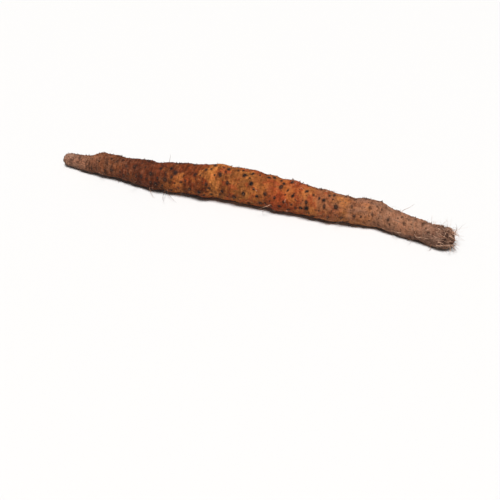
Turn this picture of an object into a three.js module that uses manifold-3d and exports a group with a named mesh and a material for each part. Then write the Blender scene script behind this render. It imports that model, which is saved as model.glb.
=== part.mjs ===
// A long, slender yam tuber, dug up whole and lying on its side. Millimetres, +Z up.
// Its thin neck, where the vine grew, points to -X, and its blunt growing end to +X.
// It rests at z = 0 on three low swellings, and the origin is on the ground under its middle.
import * as THREE from "three";
import { mergeVertices } from "three/addons/utils/BufferGeometryUtils.js";
import Module from "manifold-3d";

const wasm = await Module();
wasm.setup();

// Driving dimensions: the whole tuber.
const tuberLength = 425;
const neckTipX = -215;
const sideCentre = 1.6; // moves the bent tuber over so that its box is centred on the origin
const neckCap = 6; // length over which the neck's tip is rounded
const bluntCap = 10; // length over which the growing end is rounded
const bodySides = 18;

// The body's girth and its bend, at distances from the neck's tip.
const bodyShape = [
  { at: 0, radius: 5.7, bend: -1.4 },
  { at: 9, radius: 6.5, bend: -1.9 },
  { at: 25, radius: 7.7, bend: -3.3 },
  { at: 34, radius: 8.8, bend: -2.8 },
  { at: 43, radius: 10.7, bend: -2.2 },
  { at: 55, radius: 11.5, bend: -3.0 },
  { at: 81, radius: 12.3, bend: -4.1 },
  { at: 106, radius: 14.2, bend: -5.9 },
  { at: 132, radius: 15.1, bend: -5.1 },
  { at: 157, radius: 16.4, bend: -2.5 },
  { at: 183, radius: 17.4, bend: 0.7 },
  { at: 208, radius: 17.6, bend: 1.5 },
  { at: 234, radius: 16.9, bend: 2.7 },
  { at: 259, radius: 15.9, bend: 1.3 },
  { at: 285, radius: 14.7, bend: 1.3 },
  { at: 310, radius: 13.6, bend: 1.0 },
  { at: 334, radius: 13.1, bend: 4.7 },
  { at: 349, radius: 12.2, bend: 5.3 },
  { at: 374, radius: 10.6, bend: 0.2 },
  { at: 391, radius: 10.3, bend: -3.3 },
  { at: 408, radius: 10.2, bend: -6.2 },
  { at: 425, radius: 9.6, bend: -6.9 },
];

// How far the underside stands off the ground. Below zero it is pressed flat where it rests.
const underside = [
  { at: 0, gap: 1.6 },
  { at: 60, gap: 0.8 },
  { at: 112, gap: -0.4 },
  { at: 165, gap: 0.6 },
  { at: 230, gap: -0.4 },
  { at: 310, gap: 0.7 },
  { at: 385, gap: -0.4 },
  { at: 425, gap: 1.4 },
];

// Long low swellings that wind round the body.
const swellings = [
  { height: 0.5, length: 63, turns: 1, phase: 0.4 },
  { height: 0.4, length: 41, turns: -2, phase: 2.1 },
  { height: 0.35, length: 27, turns: 1, phase: 4.0 },
  { height: 0.25, length: 19, turns: -3, phase: 1.2 },
];
const swellingGirth = 15; // the radius at which the swellings have their stated height

// Ring wrinkles, pinched in round the neck and more faintly at the growing end.
const neckRings = { from: 3, to: 60, pitch: 3, depth: 0.42 };
const endRings = { from: 372, to: 418, pitch: 4.4, depth: 0.22 };
const ringStyle = { faintest: 0.6, fadeOver: 4, slant: 1 / 7 }; // the last two are in pitches
const plainStep = 4.4; // spacing of the body's sections where it has no rings

// Root scars: low nubs all over the skin.
const scarRule = { from: 5, to: 421, area: 205, stray: 3.4, sides: 5 };
const scarSize = { radius: 1.75, rise: 0.95, sunk: 0.7, smallest: 0.75, largest: 1.25 };
const goldenTurn = Math.PI * (3 - Math.sqrt(5));

// Rootlets: thin tapering roots that stand out of the skin and curl.
const rootletRule = { count: 26, from: 40, to: 408, shortest: 5, longest: 22, lowest: -45, highest: 35 };
const tuftRule = { count: 7, shortest: 4, longest: 6.5, from: 1.2, to: 3.2 };
const rootletSize = { root: 0.65, sides: 3, joints: 4, sunk: 1.6, clear: 1.1 };
const rootletPath = { knee: 0.3, middle: 0.15, lean: 0.78, tip: 0.26, curl: 0.56 }; // shares of its length

const skin = new THREE.MeshStandardMaterial({ color: 0x8e5a36, roughness: 0.85, metalness: 0 });

// A repeatable draw between 0 and 1, the same for the same number.
function draw(n) {
  const value = Math.sin(n * 12.9898 + 4.1414) * 43758.5453;
  return value - Math.floor(value);
}

function between(low, high, share) {
  return low + (high - low) * share;
}

// The value of one column of a list of places, at any distance along, on a smooth curve.
function valueAt(places, column, at) {
  const last = places.length - 1;
  let i = 0;
  while (i < last - 1 && at > places[i + 1].at) i += 1;
  const slope = (j) => {
    const before = places[Math.max(j - 1, 0)];
    const after = places[Math.min(j + 1, last)];
    return (after[column] - before[column]) / (after.at - before.at);
  };
  const span = places[i + 1].at - places[i].at;
  const t = THREE.MathUtils.clamp((at - places[i].at) / span, 0, 1);
  const start = places[i][column] * (2 * t ** 3 - 3 * t ** 2 + 1);
  const end = places[i + 1][column] * (3 * t ** 2 - 2 * t ** 3);
  const leaving = slope(i) * span * (t ** 3 - 2 * t ** 2 + t);
  const arriving = slope(i + 1) * span * (t ** 3 - t ** 2);
  return start + end + leaving + arriving;
}

// 1 along the body, falling in a round arc to 0 at either end.
function capShare(at) {
  const neck = THREE.MathUtils.clamp(1 - at / neckCap, 0, 1);
  const blunt = THREE.MathUtils.clamp(1 - (tuberLength - at) / bluntCap, 0, 1);
  return Math.sqrt(1 - neck ** 2) * Math.sqrt(1 - blunt ** 2);
}

// The height of a set of ring wrinkles, which fade out towards the body's plain middle.
function ringHeight(rings, at, angle) {
  if (at < rings.from || at > rings.to) return 0;
  const towardsPlain = rings.from < tuberLength / 2 ? rings.to - at : at - rings.from;
  const fade = Math.min(1, towardsPlain / (ringStyle.fadeOver * rings.pitch));
  const ring = Math.round((at - rings.from) / rings.pitch);
  const strength = between(ringStyle.faintest, 1, draw(ring + rings.to));
  const slant = ringStyle.slant * Math.sin(angle + at / (3 * rings.pitch));
  const wave = Math.cos(2 * Math.PI * ((at - rings.from) / rings.pitch + slant));
  return rings.depth * strength * fade * wave;
}

// The body's radius at a distance along it and an angle round it, 0 towards +Y and up from there.
function radiusAt(at, angle) {
  const radius = valueAt(bodyShape, "radius", at);
  let height = ringHeight(neckRings, at, angle) + ringHeight(endRings, at, angle);
  for (const s of swellings) {
    const wave = Math.sin((2 * Math.PI * at) / s.length + s.turns * angle + s.phase);
    height += s.height * (radius / swellingGirth) * wave;
  }
  return (radius + height) * capShare(at);
}

// The height of a section's middle that puts its lowest point at the underside's gap.
function middleHeight(at) {
  const uncapped = valueAt(bodyShape, "radius", at) * (1 - capShare(at));
  let lowest = 0;
  for (let k = 0; k < bodySides; k += 1) {
    const angle = (2 * Math.PI * k) / bodySides;
    lowest = Math.min(lowest, radiusAt(at, angle) * Math.sin(angle));
  }
  return valueAt(underside, "gap", at) + uncapped - lowest;
}

function skinPoint(at, angle) {
  const radius = radiusAt(at, angle);
  return new THREE.Vector3(
    neckTipX + at,
    sideCentre + valueAt(bodyShape, "bend", at) + radius * Math.cos(angle),
    middleHeight(at) + radius * Math.sin(angle),
  );
}

function skinNormal(at, angle) {
  const along = skinPoint(at + 0.5, angle).sub(skinPoint(at - 0.5, angle));
  const round = skinPoint(at, angle + 0.05).sub(skinPoint(at, angle - 0.05));
  return round.cross(along).normalize();
}

// The distances along the body at which it has a section: close where it has rings.
function sectionPlaces() {
  const capSteps = 4;
  const places = [];
  const fill = (from, to, step) => {
    const steps = Math.round((to - from) / step);
    for (let k = 0; k < steps; k += 1) places.push(from + ((to - from) * k) / steps);
  };
  for (let k = 0; k < capSteps; k += 1) {
    places.push(neckCap * (1 - Math.cos((Math.PI * k) / (2 * capSteps))));
  }
  fill(neckCap, neckRings.to, neckRings.pitch / 2);
  fill(neckRings.to, endRings.from, plainStep);
  fill(endRings.from, tuberLength - bluntCap, endRings.pitch / 2);
  for (let k = 0; k <= capSteps; k += 1) {
    places.push(tuberLength - bluntCap * (1 - Math.sin((Math.PI * k) / (2 * capSteps))));
  }
  return places;
}

// A closed geometry as a solid that can be joined and cut.
function solidOf(geometry) {
  geometry.deleteAttribute("normal");
  geometry.deleteAttribute("uv");
  const merged = mergeVertices(geometry, 1e-4);
  const corners = merged.index.array;
  const kept = [];
  for (let i = 0; i < corners.length; i += 3) {
    const [a, b, c] = corners.subarray(i, i + 3);
    if (a !== b && b !== c && c !== a) kept.push(a, b, c);
  }
  return new wasm.Manifold(
    new wasm.Mesh({
      numProp: 3,
      vertProperties: merged.attributes.position.array,
      triVerts: Uint32Array.from(kept),
    }),
  );
}

function geometryOf(solid) {
  const mesh = solid.getMesh();
  const geometry = new THREE.BufferGeometry();
  geometry.setAttribute("position", new THREE.BufferAttribute(mesh.vertProperties, 3));
  geometry.setIndex(new THREE.BufferAttribute(mesh.triVerts, 1));
  geometry.computeVertexNormals();
  return geometry;
}

// The body: a plain turned spindle, then each of its points is taken to its place on the skin.
function makeBody() {
  const profile = sectionPlaces().map((at) => new THREE.Vector2(capShare(at), at));
  const geometry = new THREE.LatheGeometry(profile, bodySides);
  const points = geometry.attributes.position;
  for (let i = 0; i < points.count; i += 1) {
    const at = points.getY(i);
    const angle = Math.atan2(points.getX(i), points.getZ(i));
    const place = skinPoint(at, angle);
    points.setXYZ(i, place.x, place.y, place.z);
  }
  return solidOf(geometry);
}

// The places of the root scars: a spiral of even spacing, with each scar strayed from it.
function scarPlaces() {
  const places = [];
  let at = scarRule.from;
  for (let i = 0; at < scarRule.to; i += 1) {
    const radius = valueAt(bodyShape, "radius", at);
    const strayAlong = between(-scarRule.stray, scarRule.stray, draw(3 * i));
    const strayRound = between(-scarRule.stray, scarRule.stray, draw(3 * i + 1)) / radius;
    places.push({
      at: THREE.MathUtils.clamp(at + strayAlong, scarRule.from, scarRule.to),
      angle: i * goldenTurn + strayRound,
      size: between(scarSize.smallest, scarSize.largest, draw(3 * i + 2)),
    });
    at += scarRule.area / (2 * Math.PI * radius);
  }
  return places;
}

function makeScar({ at, angle, size }) {
  const rise = scarSize.rise * size;
  const height = rise + scarSize.sunk;
  const foot = (scarSize.radius * size * height) / rise; // wider than the nub, as it starts under the skin
  const geometry = new THREE.ConeGeometry(foot, height, scarRule.sides);
  const normal = skinNormal(at, angle);
  const turn = new THREE.Quaternion().setFromUnitVectors(new THREE.Vector3(0, 1, 0), normal);
  geometry.translate(0, height / 2 - scarSize.sunk, 0);
  geometry.applyQuaternion(turn);
  geometry.translate(...skinPoint(at, angle).toArray());
  return solidOf(geometry);
}

// A thin cone bent along a curve, thick at the curve's start.
function bentCone(curve, rootRadius) {
  const { sides, joints } = rootletSize;
  const geometry = new THREE.ConeGeometry(rootRadius, 1, sides, joints);
  const points = geometry.attributes.position;
  const chord = curve.getPoint(1).sub(curve.getPoint(0)).normalize();
  const reference = Math.abs(chord.z) < 0.8 ? new THREE.Vector3(0, 0, 1) : new THREE.Vector3(1, 0, 0);
  const side = new THREE.Vector3().crossVectors(chord, reference).normalize();
  const lift = new THREE.Vector3().crossVectors(side, chord);
  for (let i = 0; i < points.count; i += 1) {
    const place = curve.getPoint(THREE.MathUtils.clamp(points.getY(i) + 0.5, 0, 1));
    place.addScaledVector(side, points.getX(i));
    place.addScaledVector(lift, points.getZ(i));
    points.setXYZ(i, place.x, place.y, place.z);
  }
  return solidOf(geometry);
}

// A rootlet leaves the skin squarely, leans along the tuber and curls, clear of the ground.
function makeRootlet(at, angle, length, seed) {
  const { knee, middle, lean, tip, curl } = rootletPath;
  const normal = skinNormal(at, angle);
  const leaning = new THREE.Vector3(between(-1, 1, draw(seed)), 0, draw(seed + 3) / 2);
  const curling = new THREE.Vector3(between(-1, 1, draw(seed + 1)), 0, between(-0.8, 1, draw(seed + 2)));
  const points = [skinPoint(at, angle).addScaledVector(normal, -rootletSize.sunk)];
  points.push(points[0].clone().addScaledVector(normal, rootletSize.sunk + knee * length));
  points.push(points[1].clone().addScaledVector(normal, middle * length));
  points[2].addScaledVector(leaning, (lean * length) / 2);
  points.push(points[2].clone().addScaledVector(leaning, (tip * length) / 2));
  points[3].addScaledVector(curling, (curl * length) / 2);
  for (const point of points.slice(1)) point.z = Math.max(point.z, rootletSize.clear);
  return bentCone(new THREE.CatmullRomCurve3(points), rootletSize.root);
}

// Rootlets grow mostly from the two lower flanks, where the tuber lay deepest in the soil.
function makeRootlets() {
  const { count, from, to, shortest, longest, lowest, highest } = rootletRule;
  const rootlets = [];
  for (let i = 0; i < count; i += 1) {
    const seed = 500 + 7 * i;
    const rise = THREE.MathUtils.degToRad(between(lowest, highest, draw(seed + 1) ** 2));
    const angle = i % 2 ? rise : Math.PI - rise;
    const length = between(shortest, longest, draw(seed + 2) ** 1.5);
    rootlets.push(makeRootlet(between(from, to, draw(seed)), angle, length, seed + 3));
  }
  return rootlets;
}

// A small tuft stands round the tip of the growing end.
function makeTuft() {
  const { count, shortest, longest, from, to } = tuftRule;
  const rootlets = [];
  for (let i = 0; i < count; i += 1) {
    const seed = 900 + 5 * i;
    const at = tuberLength - between(from, to, draw(seed));
    const angle = (2 * Math.PI * (i + draw(seed + 1) / 2)) / count;
    rootlets.push(makeRootlet(at, angle, between(shortest, longest, draw(seed + 2)), seed + 3));
  }
  return rootlets;
}

// The ground, as a block that takes off whatever reaches below z = 0.
function makeGround() {
  const depth = 20;
  const geometry = new THREE.BoxGeometry(2 * tuberLength, tuberLength, depth);
  geometry.translate(0, 0, -depth / 2);
  return solidOf(geometry);
}

let solid = makeBody();
for (const scar of scarPlaces()) solid = solid.add(makeScar(scar));
for (const rootlet of [...makeRootlets(), ...makeTuft()]) solid = solid.add(rootlet);
solid = solid.subtract(makeGround());

const tuber = new THREE.Mesh(geometryOf(solid), skin);
tuber.name = "tuber";

const part = new THREE.Group();
part.add(tuber);

export default part;
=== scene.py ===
import math
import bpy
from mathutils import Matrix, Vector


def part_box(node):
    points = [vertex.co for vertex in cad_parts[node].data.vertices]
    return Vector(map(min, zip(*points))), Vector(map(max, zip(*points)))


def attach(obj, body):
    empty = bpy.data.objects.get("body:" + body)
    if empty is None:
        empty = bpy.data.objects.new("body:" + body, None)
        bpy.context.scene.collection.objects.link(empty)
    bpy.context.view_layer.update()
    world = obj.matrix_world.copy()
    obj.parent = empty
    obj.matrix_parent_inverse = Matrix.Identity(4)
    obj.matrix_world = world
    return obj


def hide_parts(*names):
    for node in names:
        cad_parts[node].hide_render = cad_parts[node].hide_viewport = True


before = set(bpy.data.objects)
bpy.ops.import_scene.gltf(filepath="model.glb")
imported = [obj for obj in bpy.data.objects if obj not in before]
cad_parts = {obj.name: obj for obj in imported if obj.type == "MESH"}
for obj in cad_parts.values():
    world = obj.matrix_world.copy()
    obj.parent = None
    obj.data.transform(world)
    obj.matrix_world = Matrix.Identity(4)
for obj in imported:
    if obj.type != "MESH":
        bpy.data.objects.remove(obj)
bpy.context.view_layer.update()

from types import SimpleNamespace

import bpy
import numpy as np
from mathutils import Vector, noise
from mathutils.bvhtree import BVHTree

mm = 0.001               # lengths below are in millimetres, meshes are in metres


camera = {
    "aim": (0.0251, -0.0741, 0.0),   # the point on the floor at the middle of the picture
    "azimuth": 19.71,                # degrees, round to the blunt end's side
    "elevation": 38.0,
    "distance": 1.0,
    "halfView": 13.6,                # half the angle of view, degrees
    "sensor": 36.0,
}


def wayBack(azimuth, elevation):  # from the part towards the camera or the lamp
    turn, rise = math.radians(azimuth), math.radians(elevation)
    return Vector((math.sin(turn) * math.cos(rise), -math.cos(turn) * math.cos(rise), math.sin(rise)))


def addCamera():
    back = wayBack(camera["azimuth"], camera["elevation"])
    bpy.ops.object.camera_add(location=Vector(camera["aim"]) + back * camera["distance"])
    eye = bpy.context.object
    eye.name = "camera"
    eye.rotation_euler = back.to_track_quat("Z", "Y").to_euler()
    eye.data.sensor_width = camera["sensor"]
    eye.data.lens = camera["sensor"] / 2 / math.tan(math.radians(camera["halfView"]))
    bpy.context.scene.camera = eye


tuber = {
    "shape": [  # distance from the neck's tip, radius, sideways bend
        (0, 5.7, -1.4), (9, 6.5, -1.9), (25, 7.7, -3.3), (34, 8.8, -2.8), (43, 10.7, -2.2),
        (55, 11.5, -3.0), (81, 12.3, -4.1), (106, 14.2, -5.9), (132, 15.1, -5.1), (157, 16.4, -2.5),
        (183, 17.4, 0.7), (208, 17.6, 1.5), (234, 16.9, 2.7), (259, 15.9, 1.3), (285, 14.7, 1.3),
        (310, 13.6, 1.0), (334, 13.1, 4.7), (349, 12.2, 5.3), (374, 10.6, 0.2), (391, 10.3, -3.3),
        (408, 10.2, -6.2), (425, 9.6, -6.9),
    ],
    "underside": [  # distance from the neck's tip, gap to the floor
        (0, 1.6), (60, 0.8), (112, -0.4), (165, 0.6), (230, -0.4), (310, 0.7), (385, -0.4), (425, 1.4),
    ],
    "swellings": [  # height, length, turns, phase
        (0.5, 63, 1, 0.4), (0.4, 41, -2, 2.1), (0.35, 27, 1, 4.0), (0.25, 19, -3, 1.2),
    ],
    "swellingGirth": 15,
    "sideCentre": 1.6,
    "neckCap": 6,
    "bluntCap": 10,
    "feltSides": 18,     # angles at which a section's lowest point is looked for
    "around": 160,       # the mesh's faces round the body
    "cuts": 23,          # each long edge is cut into this many and one more, twice
    "neckFaces": 12,     # faces along each rounded end
    "bluntFaces": 18,
}
tuberLength = tuber["shape"][-1][0]
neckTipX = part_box("tuber")[0].x / mm

rings = {
    "neck": {"from": 3, "to": 60, "pitch": 3, "depth": 0.42},
    "blunt": {"from": 372, "to": 418, "pitch": 4.4, "depth": 0.22},
    "faintest": 0.6,
    "fadeOver": 4,
    "slant": 1 / 7,
}

relief = {
    "lumps": [(24, 0.42), (11, 0.36), (5.5, 0.3), (2.6, 0.29), (1.5, 0.2)],    # size, height
    "gnarled": [1, (1.1, 385, 418)],     # their strength, which rises towards the blunt tip
    "gritty": [1, (1.2, 75, 20)],        # the smallest lumps' own, which rises towards the neck's tip
    "gritSize": 2,                       # lumps below this size are grit
    "wrinkles": {  # lengthwise shrivelling, deeper towards the two ends
        "along": 17, "round": 2.1, "height": 0.336, "level": 0.35, "seed": 11,
        "strength": [0.25, (0.75, 250, 350), (0.5, 60, 10)],
    },
    "fineRings": {  # skin rings too faint for the solid
        "along": 1.5, "round": 14, "height": 0.27, "seed": 17,
        "strength": [0.3, (0.7, 170, 60), (0.6, 75, 20), (0.5, 330, 400)],
    },
    "ringStray": {"most": 1.1, "size": 13, "seed": 37},    # how far a ring wanders off its place
    "creases": {  # drawn in round the blunt tip
        "count": 17, "depth": 1.05, "twist": 0.05, "sharpness": 0.6,
        "wobbles": [(2.4, 9, 23), (1.0, 3.5, 29)],         # radians, size, seed
        "reach": 22.5, "varies": 15,                       # how far back they run
        "size": 6, "stretch": (6, 1, 1), "seed": 41,       # and the noise by which that varies
        "deepBy": 2.5,                                     # from the tip to where they are deepest
        "fadesFrom": 0.35,                                 # share of their run that keeps its depth
    },
    "stemScar": {"radius": 3.4, "depth": 1.3},             # where the vine broke off
    "capMargin": 0.6,                                      # a normal needs skin on both sides
}

scars = {
    "from": 5, "to": 421, "area": 205, "stray": 3.4,       # the large ones, a strayed spiral
    "smallest": 0.75, "largest": 1.25,
    "fillers": {  # small ones between them
        "count": 260, "mostTries": 6000, "gap": 4.4, "smallest": 0.38, "largest": 0.95, "mostlySmall": 1.3,
        "fullAt": 18,    # the radius from which all of them stay
        "seeds": (9000, 3), "keptSeed": 31000,
    },
    "radius": 1.75,      # of a scar of size 1
    "oval": 1.7,         # the longest is this many times its width
    "lean": 0.6,         # and lies up to this many radians off the way round the body
    "mound": {"height": 1.15, "width": 0.8},
    "pit": {"depth": 0.9, "width": 0.45},                  # how its middle sinks below its shoulder
    "reach": 2.9,        # radii to where its mound has run out
    "noneNear": 3.0,     # stands for the distance where no scar is near
    "drawn": {"lean": 20, "oval": 30, "rise": 40, "shade": 70},      # steps off a scar's number
}

goldenTurn = math.pi * (3 - math.sqrt(5))


def draw(n):  # a repeatable draw between 0 and 1
    value = np.sin(np.asarray(n) * 12.9898 + 4.1414) * 43758.5453
    return value - np.floor(value)


def between(low, high, share):
    return low + (high - low) * share


def easeIn(low, high, value):
    t = np.clip((value - low) / (high - low), 0, 1)
    return t * t * (3 - 2 * t)


def strengthAt(strength, at):  # what holds everywhere, then what comes on between two places
    base, *changes = strength
    return base + sum(more * easeIn(start, end, at) for more, start, end in changes)


def seedOf(kind, *counts):  # the first seed, then a step for each count
    first, *steps = kind["seeds"]
    return first + sum(step * count for step, count in zip(steps, counts))


def lengthOf(kind, share):
    return between(kind["shortest"], kind["longest"], share ** kind["mostlyShort"])


def insideEnds(at, margin):
    return np.clip(at, margin, tuberLength - margin)


def valueAt(places, column, at):  # one column of a list of places, on a smooth curve
    table = np.array(places, float)
    spots, values = table[:, 0], table[:, column]
    last = len(spots) - 1
    before = np.maximum(np.arange(last + 1) - 1, 0)
    after = np.minimum(np.arange(last + 1) + 1, last)
    slopes = (values[after] - values[before]) / (spots[after] - spots[before])
    i = np.clip(np.searchsorted(spots, at, side="left") - 1, 0, last - 1)
    span = spots[i + 1] - spots[i]
    t = np.clip((at - spots[i]) / span, 0, 1)
    return (values[i] * (2 * t**3 - 3 * t**2 + 1) + values[i + 1] * (3 * t**2 - 2 * t**3)
            + slopes[i] * span * (t**3 - 2 * t**2 + t) + slopes[i + 1] * span * (t**3 - t**2))


def capShare(at):  # 1 along the body, in a round arc to 0 at either end
    neck = np.clip(1 - at / tuber["neckCap"], 0, 1)
    blunt = np.clip(1 - (tuberLength - at) / tuber["bluntCap"], 0, 1)
    return np.sqrt(1 - neck**2) * np.sqrt(1 - blunt**2)


def ringHeight(band, at, angle):
    towardsPlain = band["to"] - at if band["from"] < tuberLength / 2 else at - band["from"]
    fade = np.clip(towardsPlain / (rings["fadeOver"] * band["pitch"]), 0, 1)
    turns = (at - band["from"]) / band["pitch"]
    strength = between(rings["faintest"], 1, draw(np.floor(turns + 0.5) + band["to"]))
    wave = np.cos(2 * np.pi * (turns + rings["slant"] * np.sin(angle + at / (3 * band["pitch"]))))
    inside = (at >= band["from"]) & (at <= band["to"])
    return np.where(inside, band["depth"] * strength * fade * wave, 0)


def radiusAt(at, angle):
    radius = valueAt(tuber["shape"], 1, at)
    height = ringHeight(rings["neck"], at, angle) + ringHeight(rings["blunt"], at, angle)
    for size, length, turns, phase in tuber["swellings"]:
        height = height + size * radius / tuber["swellingGirth"] * np.sin(
            2 * np.pi * at / length + turns * angle + phase)
    return (radius + height) * capShare(at)


def middleHeight(at):  # sets each section down on the underside's gap
    uncapped = valueAt(tuber["shape"], 1, at) * (1 - capShare(at))
    angles = 2 * np.pi * np.arange(tuber["feltSides"]) / tuber["feltSides"]
    lowest = np.min([radiusAt(at, angle) * math.sin(angle) for angle in angles], axis=0)
    return valueAt(tuber["underside"], 1, at) + uncapped - np.minimum(lowest, 0)


def spineAt(at):
    sideways = tuber["sideCentre"] + valueAt(tuber["shape"], 2, at)
    return np.stack([neckTipX + at, sideways, middleHeight(at)], -1)


def skinPlace(at, angle):
    radius = radiusAt(at, angle)
    across = np.stack([np.zeros_like(radius), radius * np.cos(angle), radius * np.sin(angle)], -1)
    return spineAt(at) + across


def skinNormal(at, angle):
    along = skinPlace(at + 0.5, angle) - skinPlace(at - 0.5, angle)
    roundways = skinPlace(at, angle + 0.05) - skinPlace(at, angle - 0.05)
    normal = np.cross(roundways, along)
    return normal / np.maximum(np.linalg.norm(normal, axis=-1, keepdims=True), 1e-9)


def noiseOn(points, size, seed, stretch=(1, 1, 1)):  # one value in about -1..1 for each point
    spots = points / (np.array(stretch, float) * size) + seed * 7.31
    return np.array([noise.noise(Vector(spot)) for spot in spots])


def largeScars():  # the same places as on the plain solid
    places = []
    at, i = scars["from"], 0
    while at < scars["to"]:
        seed = 3 * i
        radius = float(valueAt(tuber["shape"], 1, at))
        strayAlong = between(-scars["stray"], scars["stray"], draw(seed))
        strayRound = between(-scars["stray"], scars["stray"], draw(seed + 1)) / radius
        size = between(scars["smallest"], scars["largest"], draw(seed + 2))
        strayed = min(max(at + strayAlong, scars["from"]), scars["to"])
        places.append((strayed, i * goldenTurn + strayRound, size))
        at += scars["area"] / (2 * math.pi * radius)
        i += 1
    return places


def allScars():
    places = largeScars()
    spots = [skinPlace(np.float64(at), np.float64(angle)) for at, angle, _ in places]
    filler = scars["fillers"]
    tries, added = 0, 0
    while added < filler["count"] and tries < filler["mostTries"]:
        tries += 1
        seed = seedOf(filler, tries)
        at = np.float64(between(scars["from"], scars["to"], draw(seed)))
        angle = np.float64(2 * math.pi * draw(seed + 1))
        if draw(filler["keptSeed"] + tries) > valueAt(tuber["shape"], 1, at) / filler["fullAt"]:
            continue     # the thin ends carry fewer, as they have less skin
        spot = skinPlace(at, angle)
        if min(np.linalg.norm(spot - other) for other in spots) < filler["gap"]:
            continue
        size = between(filler["smallest"], filler["largest"], draw(seed + 2) ** filler["mostlySmall"])
        places.append((at, angle, size))
        spots.append(spot)
        added += 1
    return places, np.array(spots)


def readPoints(mesh):
    points = np.zeros(len(mesh.vertices) * 3)
    mesh.vertices.foreach_get("co", points)
    return points.reshape(-1, 3)


def writePoints(mesh, points):
    mesh.vertices.foreach_set("co", np.asarray(points, np.float32).ravel())
    mesh.update()


def cutLengthwise(piece, axis, cuts):  # cuts every edge that runs along the axis (0 for X, 2 for Z)
    bpy.ops.object.mode_set(mode="EDIT")
    bpy.ops.mesh.select_mode(type="EDGE")
    bpy.ops.mesh.select_all(action="DESELECT")
    bpy.ops.object.mode_set(mode="OBJECT")
    points = readPoints(piece.data)
    ends = np.zeros(len(piece.data.edges) * 2, np.int32)
    piece.data.edges.foreach_get("vertices", ends)
    run = points[ends[::2]] - points[ends[1::2]]
    lengthwise = np.abs(run[:, axis]) > 1e-4
    piece.data.edges.foreach_set("select", lengthwise)
    bpy.ops.object.mode_set(mode="EDIT")
    bpy.ops.mesh.subdivide(number_cuts=cuts)
    bpy.ops.object.mode_set(mode="OBJECT")


def addShape(add, **settings):
    bpy.ops.object.select_all(action="DESELECT")
    add(**settings)
    bpy.ops.object.transform_apply(location=True, rotation=True, scale=True)
    return bpy.context.object


def addTube():  # a plain tube of length 1 along X with closed ends
    tube = addShape(
        bpy.ops.mesh.primitive_cylinder_add,
        vertices=tuber["around"], radius=1, depth=1, end_fill_type="TRIFAN", rotation=(0, math.pi / 2, 0))
    tube.name = "yamSkin"
    cutLengthwise(tube, 0, tuber["cuts"])
    cutLengthwise(tube, 0, tuber["cuts"])
    return tube


def alongTube(share):  # the tube's own share along, as a distance, with round ends
    rows = (tuber["cuts"] + 1) ** 2
    row = share * rows
    neck, blunt = tuber["neckFaces"], tuber["bluntFaces"]
    middle = between(tuber["neckCap"], tuberLength - tuber["bluntCap"], (row - neck) / (rows - neck - blunt))
    neckEnd = tuber["neckCap"] * (1 - np.cos(np.pi / 2 * np.clip(row / neck, 0, 1)))
    bluntEnd = tuber["bluntCap"] * (1 - np.cos(np.pi / 2 * np.clip((rows - row) / blunt, 0, 1)))
    at = np.where(row < neck, neckEnd, middle)
    return np.where(row > rows - blunt, tuberLength - bluntEnd, at)


def lumpHeight(at, straight):
    gnarl = strengthAt(relief["gnarled"], at)
    grit = strengthAt(relief["gritty"], at)
    height = np.zeros(len(at))
    for i, (size, lump) in enumerate(relief["lumps"]):
        rough = gnarl if size > relief["gritSize"] else gnarl * grit
        height += lump * rough * noiseOn(straight, size, i + 1)
    return height


def wrinkleHeight(at, straight):
    wrinkle = relief["wrinkles"]
    fold = noiseOn(straight, wrinkle["round"], wrinkle["seed"], (wrinkle["along"] / wrinkle["round"], 1, 1))
    return wrinkle["height"] * strengthAt(wrinkle["strength"], at) * (wrinkle["level"] - np.abs(fold))


def fineRingHeight(at, straight):
    fine = relief["fineRings"]
    longer = fine["round"] / fine["along"]
    ring = noiseOn(straight, fine["along"], fine["seed"], (1, longer, longer))
    return fine["height"] * strengthAt(fine["strength"], at) * ring


def strayedRings(at, angle, straight):  # takes the solid's even rings away and puts wandering ones there
    stray = relief["ringStray"]
    strayed = at + stray["most"] * noiseOn(straight, stray["size"], stray["seed"])
    bands = (rings["neck"], rings["blunt"])
    return sum(ringHeight(band, strayed, angle) - ringHeight(band, at, angle) for band in bands)


def creaseDepth(at, angle, straight):
    crease = relief["creases"]
    fromTip = tuberLength - at
    wobble = sum(most * noiseOn(straight, size, seed) for most, size, seed in crease["wobbles"])
    ridge = np.abs(np.sin(crease["count"] / 2 * (angle + crease["twist"] * fromTip) + wobble))
    varied = crease["varies"] * noiseOn(straight, crease["size"], crease["seed"], crease["stretch"])
    run = crease["reach"] + varied
    fade = 1 - easeIn(run * crease["fadesFrom"], run, fromTip)
    share = easeIn(0, crease["deepBy"], fromTip) * fade
    return crease["depth"] * share * (1 - ridge ** crease["sharpness"])


def stemScarDepth(at, radius):
    dent = relief["stemScar"]
    fromAxis = np.clip(radius / dent["radius"], 0, 1)
    return np.where(at < tuber["neckCap"], dent["depth"] * (1 - fromAxis**2) ** 2, 0)


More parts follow.
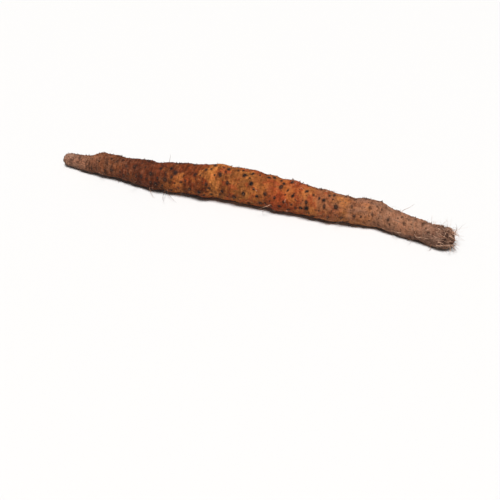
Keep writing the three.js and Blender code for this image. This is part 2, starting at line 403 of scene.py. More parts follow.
def scarRelief(places, scarPlaces, spots):  # the height, then the nearest scar's distance and shade
    height = np.zeros(len(places))
    edge = np.full(len(places), scars["noneNear"])       # 1 at a scar's rim
    shade = np.zeros(len(places))
    drawn, mound, pit = scars["drawn"], scars["mound"], scars["pit"]
    for i, ((_, _, size), spot) in enumerate(zip(scarPlaces, spots)):
        radius = scars["radius"] * size
        widest = scars["reach"] * scars["oval"] ** 0.5 * radius
        near = np.flatnonzero(np.abs(places[:, 0] - spot[0]) < widest)
        lean = between(-scars["lean"], scars["lean"], draw(i + drawn["lean"]))
        oval = between(1, scars["oval"], draw(i + drawn["oval"])) ** 0.5
        offset = places[near] - spot
        roundways = np.sign(offset[:, 1] * -spot[2] + offset[:, 2]) * np.hypot(offset[:, 1], offset[:, 2])
        lengthways = offset[:, 0] * math.cos(lean) + roundways * math.sin(lean)
        cross = roundways * math.cos(lean) - offset[:, 0] * math.sin(lean)
        away = np.hypot(lengthways * oval, cross / oval) / radius
        near, away = near[away < scars["reach"]], away[away < scars["reach"]]
        rise = size * draw(i + drawn["rise"]) ** 0.5
        shoulder = mound["height"] * np.exp(-((away / mound["width"]) ** 2))
        middle = pit["depth"] * np.exp(-((away / pit["width"]) ** 2))
        height[near] += rise * (shoulder - middle)
        closer = away < edge[near]
        edge[near[closer]] = away[closer]
        shade[near[closer]] = draw(i + drawn["shade"])
    return height, edge, shade


def addFloat(mesh, name, values):
    layer = mesh.attributes.new(name, "FLOAT", "POINT")
    layer.data.foreach_set("value", np.asarray(values, np.float32))


def addVector(mesh, name, values):
    layer = mesh.attributes.new(name, "FLOAT_VECTOR", "POINT")
    layer.data.foreach_set("vector", np.asarray(values, np.float32).ravel())


def unrollSkin(mesh, at, angle):  # the skin as four lengths, laid two by two, each with a margin
    lengths, margin = 4, 0.012
    corners = np.zeros(len(mesh.loops), np.int32)
    mesh.loops.foreach_get("vertex_index", corners)
    starts = np.zeros(len(mesh.polygons), np.int32)
    counts = np.zeros(len(mesh.polygons), np.int32)
    mesh.polygons.foreach_get("loop_start", starts)
    mesh.polygons.foreach_get("loop_total", counts)
    faceOf = np.repeat(np.arange(len(starts)), counts)
    turn = ((angle / (2 * np.pi)) + 0.25) % 1          # the seam runs along the underside
    cornerTurn, cornerAt = turn[corners], at[corners]
    first = cornerTurn[starts][faceOf]
    cornerTurn = np.where(cornerTurn - first > 0.5, cornerTurn - 1, cornerTurn)
    cornerTurn = np.where(cornerTurn - first < -0.5, cornerTurn + 1, cornerTurn)
    lowest = np.minimum.reduceat(cornerTurn, starts)[faceOf]
    cornerTurn = np.where(lowest < -1e-6, cornerTurn + 1, cornerTurn)
    middleAt = (np.add.reduceat(cornerAt, starts) / counts)[faceOf]
    length = np.minimum(np.floor(middleAt / tuberLength * lengths), lengths - 1)
    along = cornerAt / tuberLength * lengths - length
    across = cornerTurn / (1 + 1 / tuber["around"])    # a face can reach past a whole turn
    u = (length % 2) / 2 + margin + along * (0.5 - 2 * margin)
    v = np.floor(length / 2) / 2 + margin + across * (0.5 - 2 * margin)
    layer = mesh.uv_layers.new(name="OFBake")
    layer.data.foreach_set("uv", np.stack([u, v], -1).astype(np.float32).ravel())


def makeTuber():
    tube = addTube()
    mesh = tube.data
    points = readPoints(mesh)
    at = alongTube(np.clip(points[:, 0] + 0.5, 0, 1))
    angle = np.arctan2(points[:, 2], points[:, 1])
    radius = valueAt(tuber["shape"], 1, at) * capShare(at)
    straight = np.stack([at, radius * np.cos(angle), radius * np.sin(angle)], -1)
    smooth = lumpHeight(at, straight) + wrinkleHeight(at, straight) + fineRingHeight(at, straight)
    smooth += strayedRings(at, angle, straight)
    smooth -= creaseDepth(at, angle, straight) + stemScarDepth(at, radius)
    scarPlaces, spots = allScars()
    plain = skinPlace(at, angle)
    scarred, edge, shade = scarRelief(plain, scarPlaces, spots)
    out = skinNormal(insideEnds(at, relief["capMargin"]), angle)
    places = plain + out * (smooth + scarred)[:, None]
    places[:, 2] = np.maximum(places[:, 2], 0)         # pressed flat where it rests
    writePoints(mesh, places * mm)
    addVector(mesh, "unrolled", straight * mm)
    addFloat(mesh, "scarEdge", edge)
    addFloat(mesh, "scarShade", shade)
    addFloat(mesh, "hollow", -smooth)
    unrollSkin(mesh, at, angle)
    bpy.ops.object.mode_set(mode="EDIT")
    bpy.ops.mesh.select_all(action="SELECT")
    bpy.ops.mesh.remove_doubles(threshold=0.0005 * mm)     # each end's ring has closed to a point
    bpy.ops.object.mode_set(mode="OBJECT")
    bpy.ops.object.shade_smooth()
    return tube, scarPlaces


# "from" and "to" count from the neck's tip, and from the blunt tip for what grows there.
# "lie" is how closely roots keep to the skin, "combed" how many degrees they stray off the way to the tip.
rootlets = {
    "strands": {  # thick ones, along both flanks
        "root": "strand", "count": 26, "from": 40, "to": 408, "lowest": -45, "highest": 35, "mostlyLow": 2,
        "shortest": 5.75, "longest": 25.3, "mostlyShort": 1.5, "radius": 0.3, "curl": 1.0, "lie": 0,
        "leastPale": 0, "seeds": (500, 7),
    },
    "tuft": {  # round the blunt tip
        "root": "strand", "count": 7, "from": 1.2, "to": 3.2,
        "shortest": 5.2, "longest": 8.45, "mostlyShort": 1, "radius": 0.24, "curl": 1.0, "lie": 0,
        "leastPale": 0, "seeds": (900, 5),
    },
    "hairs": {  # below and on the flanks, the whole length
        "root": "hair", "count": 150, "from": 18, "to": 421, "swing": 0.5, "widerSwing": 1.9,
        "shortest": 2.5, "longest": 15, "mostlyShort": 2.2, "radius": 0.15, "curl": 1.5, "lie": 0,
        "leastPale": 0, "seeds": (2000, 11),
    },
    "endHairs": {  # standing out round the blunt end
        "root": "hair", "count": 70, "from": 1.5, "to": 31.5, "mostlyNear": 1.5,
        "shortest": 3, "longest": 16, "mostlyShort": 1.5, "radius": 0.15, "curl": 2.2, "lie": 0,
        "leastPale": 0, "seeds": (5000, 11),
    },
    "fibres": {  # lying along the blunt end's skin
        "root": "hair", "count": 55, "from": 3, "to": 40, "mostlyNear": 1.5,
        "shortest": 8, "longest": 22, "mostlyShort": 1.5, "radius": 0.24, "curl": 1.4, "lie": 0.8,
        "combed": 75, "leastPale": 0.35, "seeds": (8000, 11),
    },
    "gnarls": {  # thick and bent, drawn together over the blunt tip
        "root": "hair", "count": 82, "from": 2.5, "to": 20, "mostlyNear": 1.5,
        "shortest": 5, "longest": 12, "mostlyShort": 1.5, "radius": 0.42, "curl": 0.8, "lie": 0.93,
        "combed": 38, "leastPale": 0.2, "seeds": (11000, 11),
    },
    "tangles": {  # curled up in small knots here and there on the skin
        "root": "hair", "count": 9, "spread": 6, "swing": 0.3,
        "shortest": 4, "longest": 12, "mostlyShort": 1.5, "radius": 0.26, "curl": 2.4, "lie": 0.6,
        "combed": 180, "leastPale": 0, "seeds": (7000, 97, 7),
        "places": [  # distance from the neck's tip, degrees up from the back's side
            (262, 92), (291, 64), (361, 76), (240, 212), (257, 222), (376, 208), (118, 16), (186, 340),
            (322, 12),
        ],
    },
    "straight": {"strand": {"sides": 6, "joints": 16}, "hair": {"sides": 4, "joints": 11}},
    "tip": 0.12,         # a tip's width, as a share of the root's
    "thinnest": 0.55,    # lying roots' widths, as shares of their kind's
    "thickest": 1.1,
    "sunk": 0.8,         # how deep a root starts under the skin
    "clear": 0.15,       # kept free above the floor
    "aboveSkin": 0.7,
    "slack": 0.3,        # a lying root rises this much higher before it is drawn down
    "tipFree": 2,        # and isn't held to this much of the blunt tip
    "capMargin": 0.5,
    "lean": (1, 0, 0.5),                       # the most that a root leans its own way, along X, Y, Z
    "keeps": 0.85, "leans": 0.17, "swirls": 0.46,      # what a joint's heading is mixed from
    "drawn": {"bearing": 0.7, "joint": 5.3, "width": 60, "paleness": 80},      # off its seed or number
}


def addStraightRoot(sides, joints):  # one thin cone with its joints, standing on the origin
    root = addShape(
        bpy.ops.mesh.primitive_cone_add, vertices=sides, radius1=1, radius2=rootlets["tip"], depth=1,
        end_fill_type="TRIFAN", location=(0, 0, 0.5))
    cutLengthwise(root, 2, joints - 1)
    bpy.ops.object.shade_smooth()
    return root


def firstHeading(at, angle, seed, kind):  # straight out of the skin, or some way round to lying on it
    out = skinNormal(np.float64(at), np.float64(angle))
    if not kind["lie"]:
        return out
    bearing = math.radians(kind["combed"]) * between(-1, 1, draw(seed + rootlets["drawn"]["bearing"]))
    across = math.sin(bearing)
    alongSkin = np.array([math.cos(bearing), -across * math.sin(angle), across * math.cos(angle)])
    return out * (1 - kind["lie"]) + alongSkin * kind["lie"]


def keptOffSkin(spot, lie):  # lifted clear of the skin, and drawn back down to it if it lies
    at = spot[0] - neckTipX
    if not 0 <= at <= tuberLength - rootlets["tipFree"] * lie:
        return spot
    out = spot - spineAt(np.float64(at))
    out[0] = 0
    reach = np.linalg.norm(out)
    skin = float(radiusAt(np.float64(insideEnds(at, rootlets["capMargin"])), math.atan2(out[2], out[1])))
    gap = skin + rootlets["aboveSkin"] - reach
    return spot + out / max(reach, 1e-6) * (max(gap, 0) + min(gap + rootlets["slack"], 0) * lie)


def growPath(at, angle, length, seed, kind):  # steps out of the skin, curling, above skin and floor
    steps = rootlets["straight"][kind["root"]]["joints"]
    heading = firstHeading(at, angle, seed, kind)
    lean = np.array([between(-1, 1, draw(seed)), 0, between(-1, 1, draw(seed + 1))]) * rootlets["lean"]
    path = [skinPlace(np.float64(at), np.float64(angle)) - heading * rootlets["sunk"]]
    lowest = rootlets["clear"] + rootlets["thickest"] * kind["radius"]
    path[0][2] = max(path[0][2], lowest)
    for k in range(steps):
        drawn = seed + rootlets["drawn"]["joint"] * k
        swirl = np.array([draw(drawn + n) - 0.5 for n in (2, 3, 4)]) * kind["curl"]
        heading = heading * rootlets["keeps"] + lean * rootlets["leans"] + swirl * rootlets["swirls"]
        heading = heading / np.linalg.norm(heading)
        spot = path[-1] + heading * (length + rootlets["sunk"]) / steps
        if k > 1:        # the first two are still coming out
            spot = keptOffSkin(spot, kind["lie"])
        spot[2] = max(spot[2], lowest)
        path.append(spot)
    path = np.array(path)
    path[1:-1] = path[1:-1] / 2 + (path[:-2] + path[2:]) / 4      # eases the kinks
    return path


def bendRoot(root, path, radius, paleness):  # a copy of the straight root, laid along its path
    mesh = root.data.copy()
    points = readPoints(mesh)
    steps = len(path) - 1
    t = np.clip(points[:, 2], 0, 1) * steps
    i = np.minimum(t.astype(int), steps - 1)
    spots = path[i] + (path[i + 1] - path[i]) * (t - i)[:, None]
    headings = np.gradient(path, axis=0)
    headings /= np.linalg.norm(headings, axis=1, keepdims=True)
    side = np.cross(headings, (0.31, 0.27, 0.91))                 # any way that no root keeps to
    side /= np.linalg.norm(side, axis=1, keepdims=True)
    lift = np.cross(headings, side)
    j = np.round(t).astype(int)
    laid = spots + (side[j] * points[:, :1] + lift[j] * points[:, 1:2]) * radius
    writePoints(mesh, laid * mm)
    addFloat(mesh, "paleness", np.full(len(laid), paleness))
    return mesh


def joinMeshes(meshes, name):
    made = []
    for i, mesh in enumerate(meshes):
        piece = bpy.data.objects.new(name + str(i), mesh)
        bpy.context.scene.collection.objects.link(piece)
        made.append(piece)
    bpy.ops.object.select_all(action="DESELECT")
    for piece in made:
        piece.select_set(True)
    bpy.context.view_layer.objects.active = made[0]
    bpy.ops.object.join()
    joined = bpy.context.object
    joined.name = name
    joined.data.name = name
    return joined


def strandPaths(kind):  # the same places as on the plain solid
    for i in range(kind["count"]):
        seed = seedOf(kind, i)
        at = between(kind["from"], kind["to"], draw(seed))
        rise = math.radians(between(kind["lowest"], kind["highest"], draw(seed + 1) ** kind["mostlyLow"]))
        angle = rise if i % 2 else math.pi - rise
        yield growPath(at, angle, lengthOf(kind, draw(seed + 2)), seed + 3, kind)


def tuftPaths(kind):
    for i in range(kind["count"]):
        seed = seedOf(kind, i)
        at = tuberLength - between(kind["from"], kind["to"], draw(seed))
        angle = 2 * math.pi * (i + draw(seed + 1) / 2) / kind["count"]
        yield growPath(at, angle, lengthOf(kind, draw(seed + 2)), seed + 3, kind)


def hairPaths(kind):  # most of them hang from the underside
    for i in range(kind["count"]):
        seed = seedOf(kind, i)
        at = between(kind["from"], kind["to"], draw(seed))
        swing = kind["swing"] + kind["widerSwing"] * draw(seed + 1) ** 2
        angle = between(-swing, swing, draw(seed + 2)) - math.pi / 2
        yield growPath(at, angle, lengthOf(kind, draw(seed + 3)), seed + 4, kind)


def bluntPaths(kind):  # denser towards the tip
    for i in range(kind["count"]):
        seed = seedOf(kind, i)
        at = tuberLength - between(kind["from"], kind["to"], draw(seed) ** kind["mostlyNear"])
        angle = 2 * math.pi * draw(seed + 1)
        yield growPath(at, angle, lengthOf(kind, draw(seed + 2)), seed + 4, kind)


def tanglePaths(kind):
    for i, (place, rise) in enumerate(kind["places"]):
        for j in range(kind["count"]):
            seed = seedOf(kind, i, j)
            at = place + between(-kind["spread"], kind["spread"], draw(seed))
            angle = math.radians(rise) + between(-kind["swing"], kind["swing"], draw(seed + 1))
            yield growPath(at, angle, lengthOf(kind, draw(seed + 2)), seed + 3, kind)


def makeRootlets():
    straight = {name: addStraightRoot(**shape) for name, shape in rootlets["straight"].items()}
    grown = {
        "strands": strandPaths, "tuft": tuftPaths, "hairs": hairPaths, "endHairs": bluntPaths,
        "fibres": bluntPaths, "gnarls": bluntPaths, "tangles": tanglePaths,
    }
    meshes = []
    for name, paths in grown.items():
        kind, drawn = rootlets[name], rootlets["drawn"]
        for i, path in enumerate(paths(kind)):
            radius = kind["radius"]
            if kind["lie"]:
                radius *= between(rootlets["thinnest"], rootlets["thickest"], draw(i + drawn["width"]))
            paleness = between(kind["leastPale"], 1, draw(i + drawn["paleness"]))
            meshes.append(bendRoot(straight[kind["root"]], path, radius, paleness))
    for root in straight.values():
        bpy.data.objects.remove(root)
    return joinMeshes(meshes, "rootlets")


stubs = {
    "broken": {  # root ends left in some of the scars, with a raised rim and a hollow middle
        "share": 0.55, "radius": 0.5, "shortest": 0.6, "longest": 1.8, "sunk": 0.5, "lean": 0.9, "sides": 7,
        "rim": {"thickness": 0.32, "depth": 0.14}, "hollow": {"thickness": 0.25, "depth": -0.16},
        "drawn": {"kept": 300, "lean": 310, "height": 320},      # steps off the scar's number
    },
    "bristles": {  # hairs' stumps all over the skin
        "count": 1250, "from": 3, "to": 423, "radius": 0.5, "thinnest": 0.6, "thickest": 1.1, "taper": 0.45,
        "shortest": 0.45, "longest": 1.5, "mostlyShort": 2, "sunk": 0.5, "lean": 1.4, "sides": 4,
        "seeds": (12000, 5),
    },
    "rubbedOff": 0.3,    # nothing stands this near the floor
    "capMargin": 1,
    "smoothBelow": 50,   # degrees between faces
}


def addStub():  # standing on the origin
    broken = stubs["broken"]
    stub = addShape(
        bpy.ops.mesh.primitive_cylinder_add,
        vertices=broken["sides"], radius=1, depth=1, location=(0, 0, 0.5))
    bpy.ops.object.mode_set(mode="EDIT")
    bpy.ops.mesh.select_mode(type="FACE")
    bpy.ops.mesh.select_all(action="DESELECT")
    bpy.ops.object.mode_set(mode="OBJECT")
    for face in stub.data.polygons:
        face.select = face.normal.z > 0.9      # its upper end
    bpy.ops.object.mode_set(mode="EDIT")
    bpy.ops.mesh.inset(**broken["rim"])
    bpy.ops.mesh.inset(**broken["hollow"])
    bpy.ops.object.mode_set(mode="OBJECT")
    return stub


def addBristle():
    bristles = stubs["bristles"]
    return addShape(
        bpy.ops.mesh.primitive_cone_add, vertices=bristles["sides"], radius1=1, radius2=bristles["taper"],
        depth=1, location=(0, 0, 0.5))


def standOnSkin(nub, kind, places, skin):  # a copy for each place: distance, angle, size, height, seed
    at, angle, sizes, heights, seeds = np.array(places, float).T
    feet = [skin.find_nearest(Vector(place * mm))[0] / mm for place in skinPlace(at, angle)]
    normals = skinNormal(insideEnds(at, stubs["capMargin"]), angle)
    shape = readPoints(nub.data)
    meshes = []
    for foot, normal, size, height, seed in zip(feet, normals, sizes, heights, seeds):
        if foot[2] + normal[2] * height < stubs["rubbedOff"]:
            continue
        tilt = np.array([draw(seed + n) - 0.5 for n in (0, 1, 2)]) * kind["lean"]
        turn = np.array(Vector(normal + tilt).normalized().to_track_quat("Z", "Y").to_matrix())
        sized = shape * [kind["radius"] * size, kind["radius"] * size, height + kind["sunk"]]
        sized[:, 2] -= kind["sunk"]
        mesh = nub.data.copy()
        writePoints(mesh, (sized @ turn.T + np.array(foot)) * mm)
        meshes.append(mesh)
    bpy.data.objects.remove(nub)
    return meshes


def makeStubs(body, scarPlaces):
    broken, bristles = stubs["broken"], stubs["bristles"]
    drawn = broken["drawn"]
    inScars, onSkin = [], []
    for i, (at, angle, size) in enumerate(scarPlaces):
        if draw(i + drawn["kept"]) < broken["share"]:
            height = between(broken["shortest"], broken["longest"], draw(i + drawn["height"])) * min(size, 1)
            inScars.append((at, angle, size, height, i + drawn["lean"]))
    for i in range(bristles["count"]):
        seed = seedOf(bristles, i)
        at = between(bristles["from"], bristles["to"], draw(seed))
        angle = 2 * math.pi * draw(seed + 1)
        height = lengthOf(bristles, draw(seed + 2))
        size = between(bristles["thinnest"], bristles["thickest"], draw(seed + 3))
        onSkin.append((at, angle, size, height, seed + 4))
    skin = BVHTree.FromObject(body, bpy.context.evaluated_depsgraph_get())
    meshes = standOnSkin(addStub(), broken, inScars, skin)
    meshes += standOnSkin(addBristle(), bristles, onSkin, skin)
    joined = joinMeshes(meshes, "rootStubs")
    bpy.ops.object.shade_smooth_by_angle(angle=math.radians(stubs["smoothBelow"]))
    return joined


def linear(red, green, blue):  # a colour as picked on screen, 0 to 255
    def one(value):
        value /= 255
        return value / 12.92 if value < 0.04045 else ((value + 0.055) / 1.055) ** 2.4
    return (one(red), one(green), one(blue), 1.0)


class Wire:  # a node's output, so that sums on it make Math nodes
    def __init__(self, tree, socket=None):
        self.tree = tree
        self.socket = socket

    def node(self, kind, settings=None, sockets=None, out=0):
        made = self.tree.nodes.new("ShaderNode" + kind)
        for name, value in (settings or {}).items():
            if name == "stops":
                self.setStops(made.color_ramp, value)
            else:
                setattr(made, name, value)
        for name, value in (sockets or {}).items():
            if isinstance(value, Wire):
                self.tree.links.new(value.socket, made.inputs[name])
            else:
                made.inputs[name].default_value = value
        return Wire(self.tree, made.outputs[out]) if made.outputs else None

    @staticmethod
    def setStops(ramp, stops):
        while len(ramp.elements) < len(stops):
            ramp.elements.new(0.5)
        for element, (position, color) in zip(ramp.elements, stops):
            element.position = position
            element.color = color

    def math(self, operation, a, b=0.0):
        return self.node("Math", {"operation": operation}, {0: a, 1: b})

    def __add__(self, other):
        return self.math("ADD", self, other)

    def __radd__(self, other):
        return self.math("ADD", other, self)

    def __sub__(self, other):
        return self.math("SUBTRACT", self, other)

    def __rsub__(self, other):
        return self.math("SUBTRACT", other, self)

    def __mul__(self, other):
        return self.math("MULTIPLY", self, other)

    def __rmul__(self, other):
        return self.math("MULTIPLY", other, self)

    def __abs__(self):
        return self.math("ABSOLUTE", self)

    def step(self, low, high):  # 0 below low, 1 above high, eased between
        settings = {"interpolation_type": "SMOOTHSTEP"}
        return self.node("MapRange", settings, {"Value": self, "From Min": low, "From Max": high})

    def blend(self, over, share, kind="MIX"):  # self is a colour, over is laid on it
        settings = {"data_type": "RGBA", "blend_type": kind}
        return self.node("Mix", settings, {0: share, 6: self, 7: over}, 2)

    def greys(self, low, dark, high, bright):  # a grey to multiply with, dark at low and bright at high
        stops = [(low, (dark, dark, dark, 1)), (high, (bright, bright, bright, 1))]
        return self.node("ValToRGB", {"stops": stops}, {0: self})

    def stretched(self, scale):  # self is a place
        return self.node("VectorMath", {"operation": "MULTIPLY"}, {0: self, 1: scale})

    def noise(self, scale, detail=3.0, roughness=0.55):  # self is a place
        sockets = {"Vector": self, "Scale": scale, "Detail": detail, "Roughness": roughness}
        return self.node("TexNoise", {}, sockets)


def newMaterial(name, piece):
    material = bpy.data.materials.new(name)
    material.use_nodes = True
    material.node_tree.nodes.clear()
    piece.data.materials.clear()
    piece.data.materials.append(material)
    return Wire(material.node_tree)


def finishMaterial(start, color, roughness, bump, distance, constants):
    normal = start.node("Bump", {}, {"Strength": 1.0, "Distance": distance, "Height": bump})
    sockets = {"Base Color": color, "Roughness": roughness, "Normal": normal}
    shader = start.node("BsdfPrincipled", {}, {**sockets, **constants})
    start.node("OutputMaterial", {}, {"Surface": shader})


skinLook = {
    "zones": [  # share of the length, colour
        (0.0, (166, 126, 106)), (0.05, (155, 110, 88)), (0.10, (129, 76, 50)), (0.19, (97, 45, 22)),
        (0.29, (96, 43, 18)), (0.38, (118, 52, 17)), (0.50, (138, 80, 34)), (0.60, (142, 58, 23)),
        (0.70, (151, 91, 54)), (0.84, (157, 107, 79)), (1.0, (138, 99, 80)),
    ],
    "golden": (182, 109, 49),
    "ruddy": (152, 60, 27),
    "mauve": (104, 78, 70),
    "soil": (126, 96, 76),
    # dark soil in patches, and the painted shade at the blunt tip
    "darkSoilAndShade": (56, 32, 24),
    "scar": (20, 14, 14),
    "scarBrown": (44, 24, 17),
    "scarHalo": (54, 33, 26),
    "cork": (84, 68, 62),
    # dark lines and pores, and the painted shade in the hollows
    "darkLineAndShade": (44, 23, 15),
    "ash": (112, 94, 82),
}


def tinted(color, name, share):
    return color.blend(linear(*skinLook[name]), share)


def readSkin(start):  # what differs over the skin, for its colours and its bump
    tube = start.node("Attribute", {"attribute_name": "unrolled"}, {}, "Vector")
    along = tube.node("SeparateXYZ", {}, {0: tube}, 0) * (1 / (tuberLength * mm))
    return SimpleNamespace(
        tube=tube, along=along,
        edge=start.node("Attribute", {"attribute_name": "scarEdge"}, {}, "Fac"),
        shade=start.node("Attribute", {"attribute_name": "scarShade"}, {}, "Fac"),
        hollow=start.node("Attribute", {"attribute_name": "hollow"}, {}, "Fac"),
        neck=1 - along.step(0.04, 0.30),
        blunt=along.step(0.60, 0.95),
        medium=tube.noise(120, 3, 0.6),
        mottle=tube.noise(240, 4, 0.62),
        specks=tube.noise(800, 3, 0.6),
        bands=tube.stretched((1, 0.12, 0.12)).noise(560, 3, 0.6),     # rings round the body
        streaks=tube.stretched((0.08, 1, 1)).noise(480, 3, 0.6),      # lines along it
    )


def groundColor(start, skin):  # the zones from end to end, in patches
    tube, along = skin.tube, skin.along
    stops = [(share, linear(*color)) for share, color in skinLook["zones"]]
    wavering = along + (skin.medium - 0.5) * 0.12
    color = start.node("ValToRGB", {"stops": stops}, {0: wavering})
    middle = along.step(0.25, 0.41) * (1 - along.step(0.67, 0.88))
    ember = wavering.step(0.47, 0.56) * (1 - wavering.step(0.61, 0.71))      # a stretch redder than the rest
    golden = (tube.noise(48, 2) * 0.72 + skin.mottle * 0.28).step(0.45, 0.60) * (0.1 + middle * 0.8)
    color = tinted(color, "golden", golden * (1 - ember * 0.5))
    belly = along.step(0.24, 0.42) * (1 - along.step(0.66, 0.78))
    ruddy = tube.stretched((0.8, 1, 1)).noise(110, 4, 0.65).step(0.49, 0.63)
    color = tinted(color, "ruddy", ruddy * (0.1 + belly * 0.52))
    flank = tube.stretched((0.14, 1, 1)).noise(75, 3, 0.6).step(0.46, 0.62)   # lengthwise greyish bands
    color = tinted(color, "mauve", flank * along.step(0.65, 0.80) * 0.5)
    return tinted(color, "darkSoilAndShade", skin.medium.step(0.54, 0.70) * (0.2 + skin.neck * 0.3))


def addDarkLines(color, skin):  # dark lines in its rings and its streaks, and painted shade in its hollows
    ringed = 1 - skin.along.step(0.25, 0.60)
    lines = skin.bands.step(0.51, 0.64) * (0.16 + ringed * 0.26 + skin.neck * 0.24 + skin.blunt * 0.1)
    color = tinted(color, "darkLineAndShade", lines)
    color = tinted(color, "darkLineAndShade", skin.streaks.step(0.56, 0.68) * (0.1 + skin.blunt * 0.35))
    # painted shade: the hollows are darkened, more towards the blunt tip
    return tinted(color, "darkLineAndShade", skin.hollow.step(0.10, 0.80) * (0.7 + skin.along.step(0.90, 0.97) * 0.25))


def addShading(color, skin, tone):  # lighter and darker, without a colour of its own: at random, in grit and in rings, and a painted highlight on the raised crests
    color = color.blend(tone.greys(0, 0.58, 1, 1.2), 1.0, "MULTIPLY")
    # painted highlight: the skin's raised crests are made lighter, as if lit
    paintedHighlight = (0.0 - skin.hollow).step(0.1, 0.85)
    color = color.blend((1.3, 1.3, 1.3, 1), paintedHighlight * 0.8, "MULTIPLY")
    grit = skin.tube.noise(560, 3, 0.6).greys(0.42, 0.62, 0.58, 1.3)
    color = color.blend(grit, 0.32 + skin.neck * 0.43 + skin.blunt * 0.08, "MULTIPLY")
    hoops = skin.tube.stretched((1, 0.14, 0.14)).noise(300, 3, 0.6)     # wider rings
    hooped = 0.15 + (1 - skin.along.step(0.40, 0.64)) * skin.along.step(0.02, 0.12) * 0.6
    return color.blend(hoops.greys(0.38, 0.62, 0.62, 1.3), hooped, "MULTIPLY")


def addSoil(color, skin):  # pale in the rings, ashen towards the blunt tip, and painted shade in dark patches at the tip
    paleLines = 1 - skin.bands.step(0.34, 0.47)
    color = tinted(color, "soil", paleLines * (0.1 + skin.blunt * 0.4 + skin.neck * 0.25))
    ash = skin.along.step(0.93, 0.99) * 0.45 + skin.streaks.step(0.5, 0.7) * skin.blunt * 0.3
    color = tinted(color, "ash", ash * skin.mottle.step(0.35, 0.6))
    # painted shade: dark patches at the blunt tip, where the gaps under the lying roots are shaded
    paintedShadeAtTip = skin.along.step(0.962, 0.986) * skin.mottle.step(0.43, 0.55)
    return tinted(color, "darkSoilAndShade", paintedShadeAtTip * 0.8)


def poreDots(skin):  # in patches
    cells = skin.tube.node("TexVoronoi", {}, {"Vector": skin.tube, "Scale": 250.0, "Randomness": 1.0})
    cells = cells + (skin.specks - 0.5) * 0.5
    return (1 - cells.step(0.02, 0.22)) * skin.mottle.step(0.42, 0.52)


def addScars(color, start, skin, ragged, core):  # dark spots with a brown halo and a corky ring inside
    halo = 1 - ragged.step(0.9, 2.0)
    faint = skin.along.step(0.64, 0.84) * 0.52 + skin.along.step(0.91, 0.98) * 0.1      # to the blunt end
    plain = skin.along.step(0.08, 0.30) * 0.74 + 0.26 - faint
    stops = [(0.3, linear(*skinLook["scar"])), (0.95, linear(*skinLook["scarBrown"]))]
    scarColor = start.node("ValToRGB", {"stops": stops}, {0: skin.shade})
    color = tinted(color, "scarHalo", halo * plain * 0.6)
    color = color.blend(scarColor, core * plain * (1.05 - skin.shade * 0.35))
    corky = (1 - abs(ragged - 0.5).step(0.0, 0.3)) * skin.specks.step(0.45, 0.6)
    return tinted(color, "cork", corky * 0.5)


def paintSkin(piece):
    start = newMaterial("yamSkin", piece)
    skin = readSkin(start)
    mottle, specks = skin.mottle, skin.specks
    dust = (specks * 0.3 + mottle * 0.7).step(0.48, 0.62) * (0.06 + skin.neck * 0.35 + skin.blunt * 0.4)
    tone = (mottle * 0.65 + specks * 0.35).step(0.34, 0.64)
    dots = poreDots(skin)
    ragged = skin.edge + (mottle - 0.5) * 0.9 + (specks - 0.5) * 0.5     # the scars' rims, frayed
    core = 1 - ragged.step(0.5, 1.32)

    color = addDarkLines(groundColor(start, skin), skin)
    color = addShading(tinted(color, "soil", dust), skin, tone)
    color = tinted(addSoil(color, skin), "darkLineAndShade", dots * 0.8)
    color = addScars(color, start, skin, ragged, core)

    pores = skin.tube.noise(2600, 2, 0.5)
    wrinkles = skin.tube.stretched((1, 0.3, 0.3)).noise(900, 4, 0.65)
    bump = mottle * 0.7 + specks * 0.7 + pores * 0.25 + wrinkles * 0.7 - dots * 0.3
    bump = bump + skin.bands * (0.4 + skin.neck * 0.6) + skin.streaks * 0.35 + core * specks * 0.8
    roughness = 0.86 - tone * 0.14 + dust * 0.1
    finishMaterial(start, color, roughness, bump, 1.25 * mm, {"Specular IOR Level": 0.15})


rootLook = {  # place on each ramp, colour
    "dried": [(0.36, (60, 38, 31)), (0.5, (132, 92, 70)), (0.64, (196, 156, 130))],
    "broken": [(0.38, (38, 26, 22)), (0.66, (112, 74, 50))],
}


def rootColor(start, name, value):
    stops = [(position, linear(*color)) for position, color in rootLook[name]]
    return start.node("ValToRGB", {"stops": stops}, {0: value})


def paintRootlets(piece):
    start = newMaterial("driedRoot", piece)
    paleness = start.node("Attribute", {"attribute_name": "paleness"}, {}, "Fac")
    place = start.node("TexCoord", {}, {}, "Object")
    grain = place.noise(900, 2)
    color = rootColor(start, "dried", place.noise(160, 2) * 0.6 + paleness * 0.3 + 0.06)
    finishMaterial(start, color, 0.75 + grain * 0.15, grain, 0.1 * mm, {"Specular IOR Level": 0.3})


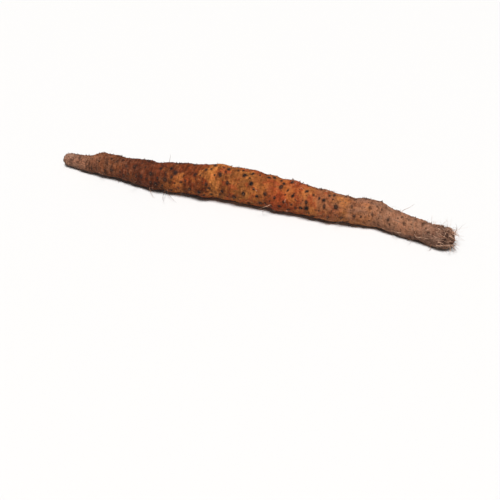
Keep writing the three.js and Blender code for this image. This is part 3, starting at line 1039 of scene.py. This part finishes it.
def paintStubs(piece):
    start = newMaterial("brokenRoot", piece)
    place = start.node("TexCoord", {}, {}, "Object")
    grain = place.noise(1400, 2)
    color = rootColor(start, "broken", place.noise(210, 2))
    finishMaterial(start, color, 0.8 + grain * 0.1, grain, 0.15 * mm, {"Specular IOR Level": 0.3})


studio = {
    "floor": (208, 207, 206),
    "key": {"azimuth": 8, "elevation": 74, "softness": 22, "strength": 4.75},
    "sky": 0.12,
    "horizon": 0.9,
}


def addKey(light):  # a wide, far lamp, so the floor is lit evenly
    back = wayBack(light["azimuth"], light["elevation"])
    bpy.ops.object.light_add(type="SUN", location=back * 2, rotation=back.to_track_quat("Z", "Y").to_euler())
    lamp = bpy.context.object
    lamp.name = "key"
    lamp.data.angle = math.radians(light["softness"])
    lamp.data.energy = light["strength"]


def addStudio():
    bpy.ops.mesh.primitive_plane_add(size=12, location=(0, 0, 0))
    floor = bpy.context.object
    floor.name = "floor"
    start = newMaterial("paleFloor", floor)
    place = start.node("TexCoord", {}, {}, "Object")
    finishMaterial(start, linear(*studio["floor"]), 0.9, place.noise(60, 2), 0.05 * mm, {})
    addKey(studio["key"])
    world = bpy.data.worlds.new("studio")
    world.use_nodes = True
    start = Wire(world.node_tree)
    direction = start.node("TexCoord", {}, {}, "Generated")
    height = start.node("SeparateXYZ", {}, {0: direction}, 2)
    glow = studio["horizon"] - height.step(0.0, 0.2) * (studio["horizon"] - studio["sky"])
    background = world.node_tree.nodes["Background"]
    background.inputs["Color"].default_value = (1, 1, 1, 1)
    world.node_tree.links.new(glow.socket, background.inputs["Strength"])
    bpy.context.scene.world = world
    bpy.context.scene.view_settings.view_transform = "Standard"


addCamera()
print("camera set")

body, scarPlaces = makeTuber()
paintSkin(body)
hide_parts("tuber")
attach(body, "root")
print("tuber shaped and painted,", len(scarPlaces), "scars")

roots = makeRootlets()
paintRootlets(roots)
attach(roots, "root")
print("rootlets grown")

brokenRoots = makeStubs(body, scarPlaces)
paintStubs(brokenRoots)
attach(brokenRoots, "root")
print("root stubs set")

addStudio()
print("studio lit")
